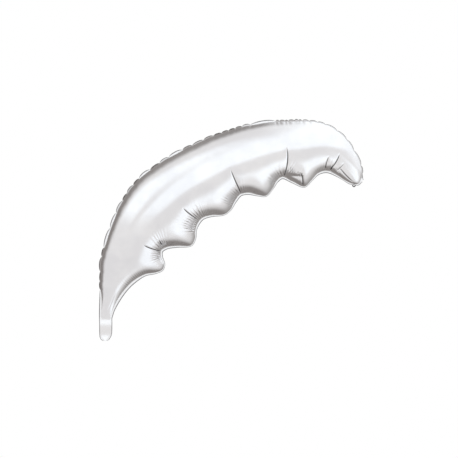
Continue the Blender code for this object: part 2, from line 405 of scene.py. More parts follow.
def spline_at(points, station):
    """A smooth curve through the points, read at places counted in points."""
    first = 2.0 * points[0] - points[1]
    last = 2.0 * points[-1] - points[-2]
    padded = np.vstack([first, points, last])
    index = np.clip(station.astype(int), 0, len(points) - 2)
    t = (station - index)[:, None]
    before, start, end, after = (padded[index + shift] for shift in range(4))
    return 0.5 * (
        2.0 * start
        + (end - before) * t
        + (2.0 * before - 5.0 * start + 4.0 * end - after) * t ** 2
        + (3.0 * start - before - 3.0 * end + after) * t ** 3
    )


def arc_lengths(path):
    steps = np.linalg.norm(np.diff(path, axis=0), axis=1)
    return np.concatenate([[0.0], np.cumsum(steps)])


def left_of(path):
    """Unit vectors in the plane, to the left of the way along a path."""
    along = np.gradient(path, axis=0)
    along /= np.linalg.norm(along, axis=1)[:, None]
    return np.stack([-along[:, 1], along[:, 0]], axis=1)


def smooth_step(low, high, value):
    t = np.clip((value - low) / (high - low), 0.0, 1.0)
    return t * t * (3.0 - 2.0 * t)


def fade_in_and_out(places, value):
    """Rises from 0 to 1 between the first two places, and falls back between the last two."""
    start, full, ending, end = places
    return smooth_step(start, full, value) * (1.0 - smooth_step(ending, end, value))


def row_stations(sections):
    """Places of the rows along the frond, closer together where the inner edge is pleated."""
    dense = np.linspace(0.0, len(sections) - 1.0, OUTLINE_SAMPLES)
    values = spline_at(sections, dense)
    along = arc_lengths(values[:, 2:4])
    pleats = table(PLEAT_COLUMNS, PLEATS)
    near = np.zeros(len(along))
    for middle, half in zip(pleats["middle"], pleats["half"]):
        past = smooth_step(half, half + PLEAT_EASE, abs(along / MM - middle))
        near = np.maximum(near, 1.0 - past)
    spacing = COARSE_SPACING + (FINE_SPACING - COARSE_SPACING) * near
    outer_along = arc_lengths(values[:, 0:2])
    steps = np.maximum(np.diff(along), np.diff(outer_along) * OUTER_WEIGHT)
    rows = np.concatenate([[0.0], np.cumsum(steps / spacing[1:])])
    return np.interp(np.linspace(0.0, rows[-1], ROWS_ALONG), rows, dense)


def petal_shape(along):
    """For places along the outer edge: the rim's reach and lean, how near a fold is, the swell of
    the puffed edge, and how much painted shade the petal gets for leaning back."""
    petals = table(PETAL_COLUMNS, PETALS)
    ends = petals["end"] * MM
    which = np.minimum(np.searchsorted(ends, along), len(ends) - 1)
    low = np.concatenate([[2.0 * ends[0] - ends[1]], ends[:-1]])[which]
    high = ends[which]
    share = np.clip((along - low) / (high - low), 0.0, 1.0)
    bulge = (1.0 - abs(2.0 * share - 1.0) ** PETAL_FLATNESS) ** PETAL_ROUNDNESS
    least = np.minimum(PETAL_LEAST, PETAL_LEAST_SHARE * petals["reach"][which])
    reach = (least + (petals["reach"][which] - least) * bulge) * MM
    lean = petals["lean"][which] * bulge * MM
    swell = petals["swell"][which] * (bulge - SWELL_BASE) * MM
    from_fold = np.minimum(along - low, high - along)
    # Painted shade on the petals that lean to the back, growing with the lean
    pucker_shade = np.clip(petals["lean"][which] / PUCKER_SHADE_LEAN, 0.0, 1.0)
    return reach, lean, from_fold, swell, pucker_shade


def frond_outline():
    """The frond row by row: rim and puffed edge on both sides, and what varies along them."""
    sections = np.array([line[1:] for line in SECTIONS], dtype=float) * MM
    station = row_stations(sections)
    values = spline_at(sections, station)
    outer, inner, inner_rim = values[:, 0:2], values[:, 2:4], values[:, 4:5]
    reach, lean, from_fold, swell, pucker_shade = petal_shape(arc_lengths(outer))
    outward = left_of(outer)
    outer = outer + outward * swell[:, None]
    outer_edge = outer + outward * reach[:, None]
    inner_edge = inner - left_of(inner) * inner_rim
    return {
        "outer_edge": outer_edge,
        "outer": outer,
        "inner": inner,
        "inner_edge": inner_edge,
        "lean": lean,
        "from_fold": from_fold,
        "pucker_shade": pucker_shade,
    }


def tail_outline(frond):
    """The tail row by row, from its rounded end to the last row below the frond."""
    rows = np.array([line[1:] for line in TAIL], dtype=float) * MM
    left = np.stack([rows[:, 0], rows[:, 2]], axis=1)
    right = np.stack([rows[:, 1], rows[:, 2]], axis=1)
    left = np.vstack([left, frond["outer_edge"][0]])
    right = np.vstack([right, frond["inner_edge"][0]])
    station = np.linspace(0.0, len(rows), ROWS_TAIL + 1)[:-1]
    left = spline_at(left, station)
    right = spline_at(right, station)
    width = np.linalg.norm(right - left, axis=1)
    seal = np.minimum(TAIL_SEAL, TAIL_SEAL_SHARE * width)[:, None]
    across = (right - left) / width[:, None]
    return left, left + across * seal, right - across * seal, right


def tip_outline(frond):
    """The rim past the last section, row by row, where it closes round the tip."""
    edges = [frond[name][-1] for name in ("outer_edge", "outer", "inner", "inner_edge")]
    towards = edges[2] - edges[1]
    onward = np.array([-towards[1], towards[0]]) / np.linalg.norm(towards) * TIP_CAP
    middle = 0.5 * (edges[1] + edges[2])
    turns = np.linspace(0.0, 0.5 * np.pi, ROWS_CAP + 1)[1:]
    rows = []
    for turn in turns:
        pull = TIP_CAP_PULL * (1.0 - math.cos(turn))
        rows.append([edge + (middle - edge) * pull + onward * math.sin(turn) for edge in edges])
    return np.array(rows).transpose(1, 0, 2)


def crease_places(points):
    """For each crease: its index, the way across it, and how far points are across and along."""
    crease = table(CREASE_COLUMNS, CREASES)
    for index in range(len(CREASES)):
        start = np.array([crease["x1"][index], crease["z1"][index]]) * MM
        end = np.array([crease["x2"][index], crease["z2"][index]]) * MM
        length = np.linalg.norm(end - start)
        way = (end - start) / length
        side = np.array([-way[1], way[0]])
        offset = points - start
        share = (offset @ way) / length
        inside = np.clip(share, 0.0, 1.0)
        off = offset @ side - crease["bow"][index] * MM * 4.0 * inside * (1.0 - inside)
        yield index, side, off, share


def gather_creases(flat):
    """Moves the rows so that each crease lies along one of them, with its neighbours close by."""
    rows = np.arange(flat.shape[0])
    for _, side, off, share in crease_places(flat):
        on_crease = (share > GATHER_SPAN[0]) & (share < GATHER_SPAN[1])
        near = np.where(on_crease, np.abs(off), FAR_AWAY)
        columns = np.flatnonzero(near.min(axis=0) < GATHER_WITHIN)
        if not len(columns):
            continue
        main = int(np.median(near[:, columns].argmin(axis=0)))
        if np.ptp(share[main, columns]) < GATHER_LEAST:
            continue
        hold = fade_in_and_out(GATHER_FADE, share[main])
        steps = (rows - main)[:, None]
        move = -off[main] * np.exp(-(steps / GATHER_ROWS) ** 2)
        spacing = np.abs(off[main + 1] - off[main - 1]) / 2.0
        sign = np.sign(off[main + 1] - off[main - 1])
        pull = GATHER_PULL * spacing * np.exp(-np.abs(steps) / GATHER_CLOSE_ROWS)
        move = move - sign * np.sign(steps) * pull
        flat += (move * hold)[..., None] * side


def make_grid():
    """Flat points of the whole film, rows by columns, with what the shaping needs."""
    frond = frond_outline()
    tail = tail_outline(frond)
    cap = tip_outline(frond)
    names = ("outer_edge", "outer", "inner", "inner_edge")
    edges = [
        np.vstack([tail[side], frond[name], cap[side]]) for side, name in enumerate(names)
    ]
    outer_edge, outer, inner, inner_edge = edges
    even = np.linspace(0.0, 1.0, COLUMNS_ACROSS + 1)
    across = even - EDGE_CROWDING * np.sin(2.0 * np.pi * even) / (2.0 * np.pi)
    outward = np.linspace(1.0, 0.0, COLUMNS_RIM + 1)[:-1]
    columns = [outer + (outer_edge - outer) * share for share in outward]
    columns += [outer + (inner - outer) * share for share in across]
    columns += [inner + (inner_edge - inner) * share for share in outward[::-1]]
    flat = np.stack(columns, axis=1)

    rows = flat.shape[0]
    frond_rows = slice(ROWS_TAIL, ROWS_TAIL + ROWS_ALONG)
    gather_creases(flat[frond_rows])
    lean = np.zeros(rows)
    lean[frond_rows] = frond["lean"]
    from_fold = np.full(rows, FAR_AWAY)
    from_fold[frond_rows] = frond["from_fold"]
    pucker_shade = np.zeros(rows)
    pucker_shade[frond_rows] = frond["pucker_shade"]
    return {
        "flat": flat,
        "outer": outer,
        "inner": inner,
        "frond_rows": frond_rows,
        "lean": lean,
        "from_fold": from_fold,
        "pucker_shade": pucker_shade,
        "rim_share": np.concatenate([outward, np.zeros(COLUMNS_ACROSS + 1), outward[::-1]]),
    }


def corner_cotangents(tip, one, two):
    """Half the cotangent of the angle at the tip, for arrays of triangles."""
    a = one - tip
    b = two - tip
    dot = (a * b).sum(axis=-1)
    cross = a[..., 0] * b[..., 1] - a[..., 1] * b[..., 0]
    return 0.5 * dot / np.maximum(np.abs(cross), TINY)


def pillow_heights(flat, free):
    """How far a sealed envelope of this outline lifts from its plane when it is filled.

    The lift is the root of the pressure equation's answer, with no lift along the rim. It is
    solved on the grid's triangles with conjugate gradients.
    """
    a, b = flat[:-1, :-1], flat[:-1, 1:]
    e, d = flat[1:, :-1], flat[1:, 1:]
    along = np.zeros((flat.shape[0], flat.shape[1] - 1))
    along[:-1] += corner_cotangents(d, a, b)
    along[1:] += corner_cotangents(a, e, d)
    upward = np.zeros((flat.shape[0] - 1, flat.shape[1]))
    upward[:, :-1] += corner_cotangents(d, a, e)
    upward[:, 1:] += corner_cotangents(a, b, d)
    slanted = corner_cotangents(b, a, d) + corner_cotangents(e, a, d)

    def apply(field):
        result = np.zeros_like(field)
        flow = along * (field[:, 1:] - field[:, :-1])
        result[:, :-1] -= flow
        result[:, 1:] += flow
        flow = upward * (field[1:] - field[:-1])
        result[:-1] -= flow
        result[1:] += flow
        flow = slanted * (field[1:, 1:] - field[:-1, :-1])
        result[:-1, :-1] -= flow
        result[1:, 1:] += flow
        return result * free

    cross = (b - a)[..., 0] * (e - a)[..., 1] - (b - a)[..., 1] * (e - a)[..., 0]
    load = np.zeros(flat.shape[:2])
    for corner in ((slice(None, -1), slice(None, -1)), (slice(None, -1), slice(1, None)),
                   (slice(1, None), slice(None, -1)), (slice(1, None), slice(1, None))):
        load[corner] += 0.25 * np.abs(cross)
    weight = np.zeros(flat.shape[:2])
    weight[:, :-1] += along
    weight[:, 1:] += along
    weight[:-1] += upward
    weight[1:] += upward
    weight[:-1, :-1] += slanted
    weight[1:, 1:] += slanted
    weight = np.maximum(weight, SOLVER_LEAST_WEIGHT)

    answer = np.zeros(flat.shape[:2])
    left = load * free
    search = left / weight
    energy = (left * search).sum()
    start_energy = energy
    for _ in range(SOLVER_STEPS):
        pulled = apply(search)
        step = energy / (search * pulled).sum()
        answer += step * search
        left -= step * pulled
        ready = left / weight
        new_energy = (left * ready).sum()
        if new_energy < SOLVER_END * start_energy:
            break
        search = ready + search * (new_energy / energy)
        energy = new_energy
    return PUFF * np.sqrt(np.maximum(answer, 0.0))


def nearest_on(path, points):
    """Distance to a path, and how far along the path the nearest place is."""
    along = arc_lengths(path)
    distance = np.empty(len(points))
    place = np.empty(len(points))
    for start in range(0, len(points), NEAREST_CHUNK):
        chunk = points[start:start + NEAREST_CHUNK]
        gaps = ((chunk[:, None, :] - path[None, :, :]) ** 2).sum(axis=2)
        index = gaps.argmin(axis=1)
        distance[start:start + NEAREST_CHUNK] = np.sqrt(gaps.min(axis=1))
        low = path[np.maximum(index - 1, 0)]
        high = path[np.minimum(index + 1, len(path) - 1)]
        tangent = high - low
        tangent /= np.maximum(np.linalg.norm(tangent, axis=1), TINY)[:, None]
        shift = ((chunk - path[index]) * tangent).sum(axis=1)
        shift = np.clip(shift, -NEAREST_SHIFT, NEAREST_SHIFT)
        place[start:start + NEAREST_CHUNK] = along[index] + shift
    return distance, place


def fold_lift(points):
    """Lift added by the sharp creases, and how deep in one of their grooves each point is, as the
    share of painted shade it gets.
    """
    lift = np.zeros(points.shape[:-1])
    groove_shade = np.zeros(points.shape[:-1])
    crease = table(CREASE_COLUMNS, CREASES)
    for index, _, off, share in crease_places(points):
        width = np.where(off > 0.0, crease["left"][index], crease["right"][index]) * MM
        fade = fade_in_and_out(CREASE_FADE, share)
        lift -= crease["depth"][index] * MM * fade * np.exp(-np.abs(off) / width)
        groove = fade_in_and_out(GROOVE_FADE, share)
        groove *= np.exp(-np.abs(off) / GROOVE_WIDTH)
        lift -= crease["groove"][index] * MM * groove
        groove_shade = np.maximum(groove_shade, groove * crease["groove"][index] / crease["groove"].max())
    return lift, groove_shade


def pleat_factor(place, distance):
    """How the fine pleats along the inner edge press the film in and let it out."""
    pleats = table(PLEAT_COLUMNS, PLEATS)
    factor = np.ones(place.shape)
    for index in range(len(PLEATS)):
        middle, half, spacing, centre, reach = (
            pleats[name][index] * MM for name in PLEAT_COLUMNS[:-1]
        )
        offset = place - middle
        drift = sum(
            strength * np.sin(offset / (period * spacing) + phase * index)
            for strength, period, phase in PLEAT_DRIFTS
        )
        wave = np.cos(2.0 * np.pi * offset / spacing + drift)
        swing = np.cos(offset / (PLEAT_UNEVEN_PERIOD * spacing) + 2.0 * index)
        uneven = 1.0 - PLEAT_UNEVEN + PLEAT_UNEVEN * swing
        near = 1.0 - smooth_step(PLEAT_FULL * half, half, np.abs(offset))
        near *= np.exp(-np.abs(distance - centre) / reach)
        near *= 1.0 - np.exp(-distance / PLEAT_START)
        factor += pleats["strength"][index] * uneven * wave * near
    return factor


def shape_film(grid):
    """Lift of the film from the rim's plane, and the small sway of that plane itself."""
    flat = grid["flat"]
    rows, columns = flat.shape[:2]
    puffed = slice(COLUMNS_RIM, COLUMNS_RIM + COLUMNS_ACROSS + 1)
    frond_rows = grid["frond_rows"]
    inside_rows = slice(frond_rows.start + 1, frond_rows.stop - 1)
    inside_columns = slice(puffed.start + 1, puffed.stop - 1)
    free = np.zeros((rows, columns))
    free[inside_rows, inside_columns] = 1.0
    lift = pillow_heights(flat, free)

    points = flat[frond_rows, puffed].reshape(-1, 2)
    from_outer, _ = nearest_on(grid["outer"][frond_rows], points)
    from_inner, place = nearest_on(grid["inner"][frond_rows], points)
    shape = (ROWS_ALONG, COLUMNS_ACROSS + 1)
    from_outer, from_inner, place = (
        values.reshape(shape) for values in (from_outer, from_inner, place)
    )

    from_fold = grid["from_fold"][frond_rows][:, None]
    fold_width = FOLD_WIDTH + FOLD_WIDENING * from_outer
    fold = np.exp(-(from_fold / fold_width) ** 2) * np.exp(-from_outer / FOLD_REACH)
    body = lift[frond_rows, puffed]
    body = body * (1.0 - FOLD_DEPTH * fold) * pleat_factor(place, from_inner)
    from_edge = np.minimum(from_inner, from_outer)
    clear_of_edge = smooth_step(0.0, CREASE_CLEARANCE, from_edge)
    creased, groove_shade = fold_lift(flat[frond_rows, puffed])
    body = body + creased * clear_of_edge
    height = flat[frond_rows, puffed, 1]
    body = body * smooth_step(NECK_TAPER_FROM, NECK_TAPER_TO, height)
    lift[frond_rows, puffed] = np.maximum(body, 0.0)

    lean = grid["lean"][:, None]
    lean = np.where(lean > 0.0, CURL_BACK * lean, lean)
    on_petal = np.arange(columns) < COLUMNS_RIM
    outward = LEAN_AT_PUFF + (1.0 - LEAN_AT_PUFF) * grid["rim_share"] ** LEAN_POWER
    inside = np.zeros((rows, columns))
    inside[frond_rows, puffed] = LEAN_AT_PUFF * np.exp(-from_outer / LEAN_REACH)
    sway = lean * (np.where(on_petal, outward, 0.0) + inside)

    height = flat[..., 1]
    sway += tail_sway(height)
    across = np.linspace(-1.0, 1.0, columns)
    lift += mouth_gape(height) * (1.0 - across ** 2)
    near_edge = np.ones((rows, columns))
    near_edge[frond_rows, puffed] = np.exp(-from_edge / EDGE_REACH)
    # The painted shade in the crease grooves, kept clear of the edges
    fold = np.zeros((rows, columns))
    fold[frond_rows, puffed] = groove_shade * clear_of_edge
    # The painted shade of the petals that lean back, with part of it on the puffed edge
    darkened = np.where(np.arange(columns) == COLUMNS_RIM, PUCKER_SHADE_AT_PUFF, on_petal)
    pucker_shade = grid["pucker_shade"][:, None] * darkened
    return lift, sway, {"near_edge": near_edge, "fold": fold, "pucker_shade": pucker_shade}


def tail_sway(height):
    """The tail hangs in a slight wave."""
    wave = np.sin(height / TAIL_SWAY_LENGTH)
    return smooth_step(0.0, TAIL_SWAY_START, -height) * TAIL_SWAY * wave


def mouth_gape(height):
    """The open end of the tail stands a little apart."""
    return smooth_step(TAIL_GAPE_FROM, TAIL_GAPE_TO, -height) * TAIL_GAPE


def add_object(name, mesh, material, smooth=True):
    if smooth:
        mesh.shade_smooth()
    mesh.materials.append(material)
    piece = bpy.data.objects.new(name, mesh)
    bpy.context.scene.collection.objects.link(piece)
    return piece


def grid_faces(rows, columns):
    corner = (np.arange(rows - 1)[:, None] * columns + np.arange(columns - 1)[None, :])
    quads = np.stack([corner, corner + 1, corner + columns + 1, corner + columns], axis=-1)
    return quads.reshape(-1, 4)


def mesh_from_arrays(name, points, quads):
    mesh = bpy.data.meshes.new(name)
    mesh.vertices.add(len(points))
    mesh.vertices.foreach_set("co", points.astype(np.float32).ravel())
    mesh.loops.add(quads.size)
    mesh.loops.foreach_set("vertex_index", quads.astype(np.int32).ravel())
    mesh.polygons.add(len(quads))
    mesh.polygons.foreach_set("loop_start", np.arange(0, quads.size, 4, dtype=np.int32))
    mesh.update(calc_edges=True)
    mesh.validate()
    return mesh


def sheet_piece(name, grid, film, side, material):
    """One film sheet, to the front (-1) or to the back (1) of the rim's plane."""
    flat = grid["flat"]
    lift, sway, marks = film
    depth = sway + side * (lift + 0.5 * WELD_THICKNESS + PLY)
    points = np.stack([flat[..., 0], depth, flat[..., 1]], axis=-1).reshape(-1, 3)
    quads = grid_faces(*flat.shape[:2])
    if side > 0:
        quads = quads[:, ::-1]
    mesh = mesh_from_arrays(name, points, quads)
    # The painted shade of the cut edge, over the outer columns of each rim
    cut = np.broadcast_to(smooth_step(*EDGE_SHADE_SPAN, grid["rim_share"]), lift.shape)
    for label, values in (*marks.items(), ("edge_shade", cut)):
        mark_points(mesh, label, values)
    return add_object(name, mesh, material)


def mark_points(mesh, label, values):
    """A value at each point of a mesh, for its material to read."""
    attribute = mesh.attributes.new(label, "FLOAT", "POINT")
    attribute.data.foreach_set("value", values.astype(np.float32).ravel())


def thickened(name, points, normal_depth, quads, half):
    """A closed thin solid from a patch of quads: the patch in front, behind, and its sides."""
    used = np.unique(quads)
    renumber = np.full(len(points), -1)
    renumber[used] = np.arange(len(used))
    quads = renumber[quads]
    points = points[used]
    depth = normal_depth[used]
    count = len(used)
    front = np.stack([points[:, 0], depth - half, points[:, 1]], axis=1)
    back = np.stack([points[:, 0], depth + half, points[:, 1]], axis=1)
    edges = np.concatenate([quads[:, [k, (k + 1) % 4]] for k in range(4)])
    keys = {}
    for one, two in edges.tolist():
        keys[(one, two)] = keys.get((one, two), 0) + 1
    sides = [
        (two, one, one + count, two + count) for one, two in keys if (two, one) not in keys
    ]
    faces = np.concatenate([quads, quads[:, ::-1] + count, np.array(sides)])
    return mesh_from_arrays(name, np.concatenate([front, back]), faces)


def weld_piece(grid, sway, material):
    """The welded band between the two sheets, a hair wider than they are."""
    flat = grid["flat"].copy()
    rows, columns = flat.shape[:2]
    for edge, inward in ((0, 1), (columns - 1, columns - 2)):
        way = flat[:, edge] - flat[:, inward]
        flat[:, edge] += way / np.linalg.norm(way, axis=1)[:, None] * WELD_LIP
    way = flat[-1] - flat[-2]
    flat[-1] += way / np.linalg.norm(way, axis=1)[:, None] * WELD_LIP
    quads = grid_faces(rows, columns)
    column = quads[:, 0] % columns
    row = quads[:, 0] // columns
    on_rim = (column < COLUMNS_RIM) | (column >= columns - 1 - COLUMNS_RIM)
    on_cap = row >= grid["frond_rows"].stop - 1
    closed = flat.reshape(-1, 2)[quads[:, 0], 1] > TAIL_MOUTH
    keep = (on_rim | on_cap) & closed
    mesh = thickened(
        "rim_weld", flat.reshape(-1, 2), sway.reshape(-1), quads[keep], 0.5 * WELD_THICKNESS
    )
    return add_object("rim_weld", mesh, material, smooth=False)


def hang_tab_piece(grid, material):
    """The small punched tab at the tip: a round eye of film with a raised lip."""
    names = [line[0] for line in SECTIONS]
    corner = np.array(SECTIONS[names.index("tip_corner")][3:5], dtype=float) * MM
    inner = grid["inner"][grid["frond_rows"]]
    nearest = np.linalg.norm(inner - corner, axis=1).argmin()
    outward = -left_of(inner)[nearest]
    centre = inner[nearest] + outward * TAB_FROM_EDGE
    profile = [(TAB_HOLE + out * MM, height) for out, height in TAB_LIP]
    profile += [(TAB_RADIUS + out * MM, height) for out, height in TAB_OUTSIDE]
    turns = np.linspace(0.0, 2.0 * np.pi, TAB_SIDES, endpoint=False)
    ring = np.stack([np.cos(turns), np.sin(turns)], axis=1)
    points = []
    for side in (-1.0, 1.0):
        for radius, height in profile:
            around = centre + ring * radius
            depth = np.full(TAB_SIDES, side * height * TAB_THICKNESS)
            points.append(np.stack([around[:, 0], depth, around[:, 1]], axis=1))
    loops = list(range(len(profile))) + list(range(2 * len(profile) - 2, len(profile), -1))
    quads = []
    for one, two in zip(loops, loops[1:] + loops[:1]):
        for turn in range(TAB_SIDES):
            after = (turn + 1) % TAB_SIDES
            quads.append((
                one * TAB_SIDES + turn, one * TAB_SIDES + after,
                two * TAB_SIDES + after, two * TAB_SIDES + turn,
            ))
    mesh = mesh_from_arrays("tip_hang_tab", np.concatenate(points), np.array(quads))
    # Painted shade over the tab's rings
    mark_points(mesh, "edge_shade", np.repeat(np.tile(TAB_SHADE, 2), TAB_SIDES))
    return add_object("tip_hang_tab", mesh, material)


def valve_piece(name, side, material):
    """One film strip of the filling valve, up the neck, with its two sealed side lines."""
    across = np.linspace(-1.0, 1.0, VALVE_COLUMNS)[None, :]
    height = np.linspace(VALVE_BOTTOM, VALVE_TOP, VALVE_ROWS)[:, None]
    above_end = smooth_step(0.0, VALVE_END, height - VALVE_BOTTOM)
    half_width = VALVE_HALF_WIDTH * (VALVE_END_WIDTH + (1.0 - VALVE_END_WIDTH) * above_end)
    seal = np.exp(-((np.abs(across) - VALVE_SEAL_PLACE) / VALVE_SEAL_WIDTH) ** 2)
    gape = 0.5 * mouth_gape(height) * (1.0 - across ** 2)
    depth = tail_sway(height) + side * (VALVE_PLY + gape - 0.5 * VALVE_PLY * seal)
    points = np.stack([across * half_width, height + 0.0 * across], axis=-1).reshape(-1, 2)
    quads = grid_faces(VALVE_ROWS, VALVE_COLUMNS)
    mesh = thickened(name, points, depth.reshape(-1), quads, VALVE_HALF_THICKNESS)
    return add_object(name, mesh, material)


def add_node(tree, kind, **settings):
    node = tree.nodes.new(kind)
    for name, value in settings.items():
        setattr(node, name, value)
    return node


def plug(tree, socket, value):
    """Sets a socket to a value, or links it when the value is another node's socket."""
    if isinstance(value, bpy.types.NodeSocket):
        tree.links.new(value, socket)
    else:
        socket.default_value = value


def calculate(tree, operation, *values):
    node = add_node(tree, "ShaderNodeMath", operation=operation)
    for socket, value in zip(node.inputs, values):
        plug(tree, socket, value)
    return node.outputs[0]


def step_between(tree, value, low, high, start=0.0, end=1.0):
    node = add_node(tree, "ShaderNodeMapRange", interpolation_type="SMOOTHSTEP")
    for name, setting in (
        ("Value", value), ("From Min", low), ("From Max", high), ("To Min", start), ("To Max", end)
    ):
        plug(tree, node.inputs[name], setting)
    return node.outputs["Result"]


def mix_colours(tree, share, first, second):
    node = add_node(tree, "ShaderNodeMix", data_type="RGBA")
    plug(tree, node.inputs["Factor"], share)
    plug(tree, node.inputs["A"], first)
    plug(tree, node.inputs["B"], second)
    return node.outputs["Result"]


def mesh_mark(tree, label):
    """The value that a mesh carries at each point under this label."""
    return add_node(tree, "ShaderNodeAttribute", attribute_name=label).outputs["Fac"]


def noise(tree, scale, detail=2.0, roughness=0.5, seed=0.0):
    place = add_node(tree, "ShaderNodeTexCoord")
    mapping = add_node(tree, "ShaderNodeMapping")
    tree.links.new(place.outputs["Object"], mapping.inputs["Vector"])
    mapping.inputs["Location"].default_value = (seed, seed, seed)
    texture = add_node(tree, "ShaderNodeTexNoise")
    tree.links.new(mapping.outputs["Vector"], texture.inputs["Vector"])
    texture.inputs["Scale"].default_value = scale
    texture.inputs["Detail"].default_value = detail
    texture.inputs["Roughness"].default_value = roughness
    return texture.outputs["Fac"]


def new_material(name):
    material = bpy.data.materials.new(name)
    material.use_nodes = True
    tree = material.node_tree
    shader = tree.nodes["Principled BSDF"]
    return material, tree, shader


def add_bump(tree, shader, layers):
    """Bump from (height socket, distance in metres, strength) layers, one after another."""
    normal = None
    for height, distance, strength in layers:
        bump = add_node(tree, "ShaderNodeBump")
        plug(tree, bump.inputs["Height"], height)
        plug(tree, bump.inputs["Distance"], distance)
        plug(tree, bump.inputs["Strength"], strength)
        if normal is not None:
            tree.links.new(normal, bump.inputs["Normal"])
        normal = bump.outputs["Normal"]
    tree.links.new(normal, shader.inputs["Normal"])


def foil_material(name, seed):
    """Mirror-bright metallised film: soft ripples, faint scuffs, duller and finely creased
    towards the rim, with painted shade on the petals that lean back, along the cut edges and in the
    crease grooves."""
    material, tree, shader = new_material(name)
    shader.inputs["Metallic"].default_value = 1.0
    near_edge = mesh_mark(tree, "near_edge")
    haze = noise(tree, scale=9.0, detail=4.0, roughness=0.6, seed=seed)
    haze = step_between(tree, haze, 0.35, 0.65)
    colour = mix_colours(tree, haze, FOIL_HAZY, FOIL_CLEAR)
    welded = step_between(tree, near_edge, 0.9, 1.0)
    colour = mix_colours(tree, welded, colour, FOIL_WELDED)
    # Painted shade on the petals that lean back
    colour = mix_colours(tree, mesh_mark(tree, "pucker_shade"), colour, FOIL_PUCKER_SHADE)
    # Painted shade along the cut edge
    colour = mix_colours(tree, mesh_mark(tree, "edge_shade"), colour, FOIL_EDGE_SHADE)
    # Painted shade in the crease grooves
    groove_shade = step_between(tree, mesh_mark(tree, "fold"), 0.15, 0.6)
    colour = mix_colours(tree, groove_shade, colour, FOIL_GROOVE_SHADE)
    tree.links.new(colour, shader.inputs["Base Color"])
    scuffs = noise(tree, scale=60.0, detail=6.0, roughness=0.7, seed=seed + 3.0)
    gloss = step_between(tree, scuffs, 0.3, 0.8, *FOIL_ROUGHNESS)
    duller = calculate(tree, "MULTIPLY", near_edge, DULLER_BY_RIM)
    roughness = calculate(tree, "ADD", gloss, duller)
    tree.links.new(roughness, shader.inputs["Roughness"])
    ripples = noise(tree, scale=34.0, detail=2.0, roughness=0.5, seed=seed + 7.0)
    crinkles = noise(tree, scale=230.0, detail=5.0, roughness=0.65, seed=seed + 11.0)
    crinkle_strength = calculate(tree, "MULTIPLY_ADD", near_edge, CRINKLES_BY_RIM, CRINKLES)
    add_bump(tree, shader, (
        (ripples, 0.0015, 0.10),
        (crinkles, 0.0006, crinkle_strength),
    ))
    return material


def weld_material():
    """Film welded flat: dull silver with the fine embossed grain of the sealing tool."""
    material, tree, shader = new_material("welded_film")
    shader.inputs["Metallic"].default_value = 1.0
    haze = step_between(tree, noise(tree, scale=40.0, detail=4.0, roughness=0.6), 0.3, 0.7)
    colour = mix_colours(tree, haze, WELD_HAZY, WELD_CLEAR)
    # Painted shade, on the hang tab's rings
    colour = mix_colours(tree, mesh_mark(tree, "edge_shade"), colour, WELD_EDGE_SHADE)
    tree.links.new(colour, shader.inputs["Base Color"])
    scuffs = noise(tree, scale=160.0, detail=3.0)
    roughness = step_between(tree, scuffs, 0.3, 0.7, *WELD_ROUGHNESS)
    tree.links.new(roughness, shader.inputs["Roughness"])
    grain = noise(tree, scale=900.0, detail=2.0)
    add_bump(tree, shader, ((grain, 0.0003, 0.35),))
    return material


def valve_material():
    """Thin milky film of plain plastic."""
    material, tree, shader = new_material("milky_film")
    haze = step_between(tree, noise(tree, scale=70.0, detail=4.0), 0.3, 0.7)
    colour = mix_colours(tree, haze, MILKY_HAZY, MILKY_CLEAR)
    tree.links.new(colour, shader.inputs["Base Color"])
    scuffs = noise(tree, scale=200.0, detail=3.0)
    roughness = step_between(tree, scuffs, 0.3, 0.7, *MILKY_ROUGHNESS)
    tree.links.new(roughness, shader.inputs["Roughness"])
    grain = noise(tree, scale=300.0, detail=3.0)
    add_bump(tree, shader, ((grain, 0.0003, 0.25),))
    return material


def floor_material():
    material, tree, shader = new_material("pale_floor")
    haze = step_between(tree, noise(tree, scale=2.0, detail=3.0), 0.3, 0.7)
    colour = mix_colours(tree, haze, FLOOR_DULL, FLOOR_PALE)
    tree.links.new(colour, shader.inputs["Base Color"])
    shader.inputs["Roughness"].default_value = FLOOR_ROUGHNESS
    return material


def panel_above(tree, aside, depth, height, to_right):
    """The large soft panel above, with the dim gap that slants across it.

    Its lower edge falls away from a peak a little to the left. It ends overhead, sooner in the
    middle than on the left, and stays open to the right.
    """
    from_peak = calculate(tree, "SUBTRACT", aside, PANEL_PEAK)
    to_left = calculate(tree, "MULTIPLY", from_peak, PANEL_FALL_LEFT)
    fall = calculate(
        tree, "MAXIMUM", to_left, calculate(tree, "MULTIPLY", from_peak, PANEL_FALL_RIGHT)
    )
    rise = calculate(tree, "ADD", calculate(tree, "SUBTRACT", height, fall), PANEL_LIFT)
    from_left = calculate(tree, "SUBTRACT", aside, OVERHEAD_FROM)
    overhead = calculate(tree, "MULTIPLY_ADD", from_left, OVERHEAD_SLANT, depth)
    end = calculate(tree, "MAXIMUM", step_between(tree, overhead, *OVERHEAD_EDGE), to_right)
    panel = calculate(tree, "MULTIPLY", step_between(tree, rise, *PANEL_EDGE), end)

    slanted = calculate(tree, "MULTIPLY_ADD", height, GAP_SLANT, aside)
    across = calculate(tree, "ABSOLUTE", calculate(tree, "ADD", slanted, GAP_PLACE))
    gap = calculate(
        tree, "MULTIPLY", step_between(tree, across, *GAP_EDGE, 1.0, 0.0),
        step_between(tree, height, *GAP_HEIGHTS, *GAP_STRENGTHS)
    )
    return calculate(tree, "SUBTRACT", panel, calculate(tree, "MULTIPLY", gap, panel))


